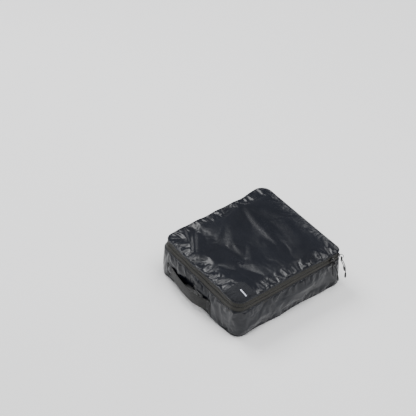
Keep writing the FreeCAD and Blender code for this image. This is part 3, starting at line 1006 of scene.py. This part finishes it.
def make_bar_tack(name, low, high, material):
    """Close zigzag stitching in two bars across a folded webbing end."""
    rim = 5
    points, faces = [], []
    wire = 0.28 * MM
    for bar in (0.28, 0.72):
        centre = low.x + bar * (high.x - low.x)
        count = 46
        base = len(points)
        for number in range(count):
            z = low.z + 3 * MM + (high.z - low.z - 6 * MM) * number / (count - 1)
            x = centre + (1.1 * MM if number % 2 else -1.1 * MM)
            for k in range(rim):
                turn = 2 * math.pi * k / rim
                points.append((x, low.y - 0.05 * MM + wire * math.cos(turn), z + wire * math.sin(turn)))
        for face in grid_faces(count, rim, wrap_columns=True):
            faces.append([base + index for index in face])
        faces.append([base + k for k in range(rim)][::-1])
        faces.append([base + (count - 1) * rim + k for k in range(rim)])
    obj = mesh_piece(name, points, faces)
    return finish_piece(obj, material, "base")


# ---- corner patch

def surface_height(cloth):
    """Gives a function that looks up a cloth's height at a place."""
    tree = BVHTree.FromObject(cloth, bpy.context.evaluated_depsgraph_get())

    def height(x, y):
        hit = tree.ray_cast(Vector((x, y, 0.3)), Vector((0, 0, -1)))
        return hit[0].z if hit[0] is not None else None
    return height


def make_patch(lid, material, tab):
    """The padded reinforcement on the lid's front corner, laid on the cloth below it."""
    height = surface_height(lid)
    low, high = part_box("corner_patch")
    count = 34
    line = np.linspace(0, 1, count)
    points, uvs = [], []
    inner = CORNER_R * 0.62
    for a in line:
        for b in line:
            x = low[0] + a * (high[0] - low[0])
            y = low[1] + b * (high[1] - low[1])
            x, y = round_corner(x, y, high[0], low[1], CORNER_R - 3 * MM, 1, -1)
            x, y = round_corner(x, y, low[0], high[1], inner, -1, 1)
            edge = min(a, 1 - a, b, 1 - b) * 60 * MM
            puff = 0.5 * MM + 1.3 * MM * float(smooth(np.array(edge), 0, 8 * MM))
            top = slump([[x, y, LID_Z]])[0]
            found = height(top[0], top[1])
            z = (found if found is not None else top[2]) + puff
            points.append((top[0], top[1], z))
            uvs.append((x, y))
    obj = mesh_piece("corner_patch_cloth", points, grid_faces(count, count), uvs)
    face_up(obj)
    thicken(obj, 0.6 * MM)
    finish_piece(obj, material, "lid", ("corner_patch",))
    make_label(obj, tab)


def face_up(obj):
    if obj.data.polygons[0].normal.z < 0:
        obj.data.flip_normals()


def round_corner(x, y, corner_x, corner_y, radius, side_x, side_y):
    """Draws a square corner in to a round one."""
    centre_x, centre_y = corner_x - side_x * radius, corner_y - side_y * radius
    a, b = side_x * (x - centre_x) / radius, side_y * (y - centre_y) / radius
    if a <= 0 or b <= 0:
        return x, y
    scale = max(a, b) / math.hypot(a, b)
    return centre_x + side_x * a * scale * radius, centre_y + side_y * b * scale * radius


def make_label(patch, tab):
    """A plain pale woven tab, blank, sewn on the patch."""
    height = surface_height(patch)
    low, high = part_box("corner_label")
    columns, rows = 27, 7
    xs = np.linspace(low[0], high[0], columns)
    ys = np.linspace(low[1], high[1], rows)
    points, uvs = [], []
    for x in xs:
        for y in ys:
            top = slump([[x, y, LID_Z]])[0]
            found = height(top[0], top[1])
            z = (found if found is not None else LID_Z) + 0.7 * MM
            points.append((top[0], top[1], z))
            uvs.append((x, y))
    obj = mesh_piece("corner_label_tab", points, grid_faces(columns, rows), uvs)
    face_up(obj)
    thicken(obj, 0.6 * MM)
    finish_piece(obj, tab, "lid", ("corner_label",))


# ---- sliders and pulls

# Each pull cord's route in its hanging frame, in metres: along the chain, inwards, up,
# from the middle of the ring's lowest wire.
CORD_ROUTES = {
    "a": (
        (-0.0030, -0.0034, -0.0260), (-0.0036, -0.0024, -0.0185), (-0.0030, -0.0010, -0.0110),
        (-0.0023, -0.0002, -0.0042), (-0.0027, 0.0000, 0.0023), (0.0027, 0.0000, 0.0023),
        (0.0023, -0.0002, -0.0042), (0.0032, -0.0015, -0.0114), (0.0062, -0.0038, -0.0196),
        (0.0090, -0.0058, -0.0288), (0.0106, -0.0070, -0.0380), (0.0110, -0.0076, -0.0460),
    ),
    "b": (
        (0.0006, -0.0078, -0.0300), (-0.0006, -0.0064, -0.0226), (-0.0018, -0.0040, -0.0156),
        (-0.0026, -0.0016, -0.0098), (-0.0023, -0.0002, -0.0042), (-0.0027, 0.0000, 0.0023),
        (0.0027, 0.0000, 0.0023), (0.0023, -0.0002, -0.0042), (0.0030, -0.0020, -0.0106),
        (0.0044, -0.0054, -0.0186), (0.0050, -0.0090, -0.0280), (0.0052, -0.0114, -0.0376),
        (0.0048, -0.0124, -0.0464), (0.0046, -0.0126, -0.0540),
    ),
}
CORD_WIDTH = 2.2 * MM


def joint_place(name):
    for joint in frame["joints"]:
        if joint["name"] == name:
            return Vector(joint["pos_m"]), Vector(joint["axis"])
    raise ValueError(name)


def hang_frame(letter):
    """The pull's frame: X along the chain, -Y outwards, Z up, at the ring's lowest wire."""
    place, outwards = joint_place(f"pull_{letter}_swing")
    inwards = -outwards
    along = inwards.cross(Vector((0, 0, 1)))
    rows = Matrix((along, inwards, Vector((0, 0, 1)))).transposed()
    return Matrix.Translation(place) @ rows.to_4x4()


def cord_curve(letter, points):
    curve = bpy.data.curves.new(f"pull_cord_{letter}_line", "CURVE")
    curve.dimensions = "3D"
    spline = curve.splines.new("NURBS")
    spline.points.add(len(points) - 1)
    for point, place in zip(spline.points, points):
        point.co = (*place, 1)
        point.radius = CORD_WIDTH / 2  # with a bevel depth of 1.0 this radius sets the cord's thickness
    spline.order_u = 3
    spline.use_endpoint_u = True
    spline.resolution_u = 8
    curve.bevel_depth = 1.0
    curve.bevel_resolution = 3
    curve.use_fill_caps = True
    obj = bpy.data.objects.new(f"pull_cord_{letter}_braid", curve)
    scene.collection.objects.link(obj)
    return obj


def turned(name, top, below, profile, rim=20):
    """A piece turned about the line from top towards below; profile is (down, radius)."""
    axis = (Vector(below) - Vector(top)).normalized()
    side = axis.orthogonal().normalized()
    other = axis.cross(side)
    points, uvs = [], []
    for down, radius in profile:
        for k in range(rim):
            turn = 2 * math.pi * k / rim
            spot = Vector(top) + axis * down + radius * (side * math.cos(turn) + other * math.sin(turn))
            points.append(spot)
            uvs.append((down, turn * radius))
    faces = grid_faces(len(profile), rim, wrap_columns=True)
    faces.append(list(range(rim)))
    faces.append([(len(profile) - 1) * rim + k for k in range(rim)][::-1])
    return mesh_piece(name, points, faces, uvs)


TIP_PROFILE = (
    (0.0, 1.3), (0.3, 1.9), (1.2, 2.2), (2.0, 2.2), (2.4, 1.9), (3.0, 1.9), (3.4, 2.3),
    (5.5, 2.5), (8.0, 2.6), (10.5, 2.6), (13.0, 2.5), (14.8, 2.2), (16.0, 1.7),
    (16.7, 1.0), (17.0, 0.3),
)


def make_tip(letter, which, top, before, material):
    below = top + (top - before)
    profile = [(down * MM, radius * MM) for down, radius in TIP_PROFILE]
    obj = turned(f"tip_{which}_{letter}_moulded", top, below, profile)
    return finish_piece(obj, material, f"pull_{letter}", (f"tip_{which}_{letter}",))


def make_collar(letter, hang, material):
    """A moulded collar that grips both strands under the ring: an oval, waisted barrel."""
    rim, rings = 28, 9
    points, uvs = [], []
    for ring in range(rings):
        share = ring / (rings - 1)
        swell = 0.80 + 0.20 * math.sin(share * math.pi) - 0.07 * math.cos(share * 4 * math.pi)
        down = -(4.6 + 5.0 * share) * MM
        for k in range(rim):
            turn = 2 * math.pi * k / rim
            x = 4.4 * MM * swell * abs(math.cos(turn)) ** 0.8 * math.copysign(1, math.cos(turn))
            y = 2.4 * MM * swell * abs(math.sin(turn)) ** 0.8 * math.copysign(1, math.sin(turn))
            points.append(hang @ Vector((x, y - 1.1 * MM, down)))
            uvs.append((turn * 3 * MM, down))
    faces = grid_faces(rings, rim, wrap_columns=True)
    faces.append(list(range(rim)))
    faces.append([(rings - 1) * rim + k for k in range(rim)][::-1])
    obj = mesh_piece(f"collar_{letter}_moulded", points, faces, uvs)
    return finish_piece(obj, material, f"pull_{letter}", (f"collar_{letter}",))


def make_pull(letter, cord_material, tip_material):
    hang = hang_frame(letter)
    points = [hang @ Vector(place) for place in CORD_ROUTES[letter]]
    cord = cord_curve(letter, points)
    finish_piece(cord, cord_material, f"pull_{letter}", (f"pull_cord_{letter}",))
    pieces = [
        make_tip(letter, "short", points[0], points[1], tip_material),
        make_tip(letter, "long", points[-1], points[-2], tip_material),
        make_collar(letter, hang, tip_material),
    ]


def repaint(node, material, rounding=0.0):
    obj = frame["nodes"][node]
    obj.data.materials.clear()
    obj.data.materials.append(material)
    if rounding:
        bevel = obj.modifiers.new("rounding", "BEVEL")
        bevel.width = rounding
        bevel.segments = 2
        bevel.limit_method = "ANGLE"


def make_floor(material):
    side = 14.0
    corners = [(-side, -side, 0), (side, -side, 0), (side, side, 0), (-side, side, 0)]
    floor = mesh_piece("floor", corners, [(0, 1, 2, 3)], [(0, 0), (1, 0), (1, 1), (0, 1)])
    floor.data.materials.append(material)
    floor.location.z = -0.2 * MM


make_camera()
make_lights()
make_floor(floor_paint())
for letter in ("a", "b"):
    make_pull(letter, braid(), moulded())
    repaint(f"slider_body_{letter}", enamel(), rounding=0.35 * MM)
    repaint(f"ring_{letter}", dark_nickel())
CLOTH = shell_cloth()
TAPE = tape_cloth()
WEB = webbing()
THREAD = thread()
COIL = coil_nylon()
BINDING = dark_woven("binding", (0.005, 0.005, 0.006), (0.012, 0.012, 0.013), 0.6 * MM)
PATCH = dark_woven("patch", (0.004, 0.005, 0.008), (0.009, 0.010, 0.014), 0.5 * MM)
lid_cloth = make_lid_cloth(CLOTH)
make_gusset_cloth(CLOTH)
make_back_cloth(CLOTH)
make_base_cloth(CLOTH)
make_tapes(TAPE)
make_coil("zipper_coil_lower_loops", CHAIN_Z - 0.8 * MM, "base", "zipper_coil_lower", COIL, 0.0)
make_coil("zipper_coil_upper_loops", CHAIN_Z + 0.8 * MM, "lid", "zipper_coil_upper", COIL, math.pi)
make_edges(CLOTH, BINDING, THREAD)
make_back_bindings(BINDING)
make_zipper_ends(TAPE, COIL)
make_handle(WEB, THREAD)
make_patch(lid_cloth, PATCH, pale_tab())
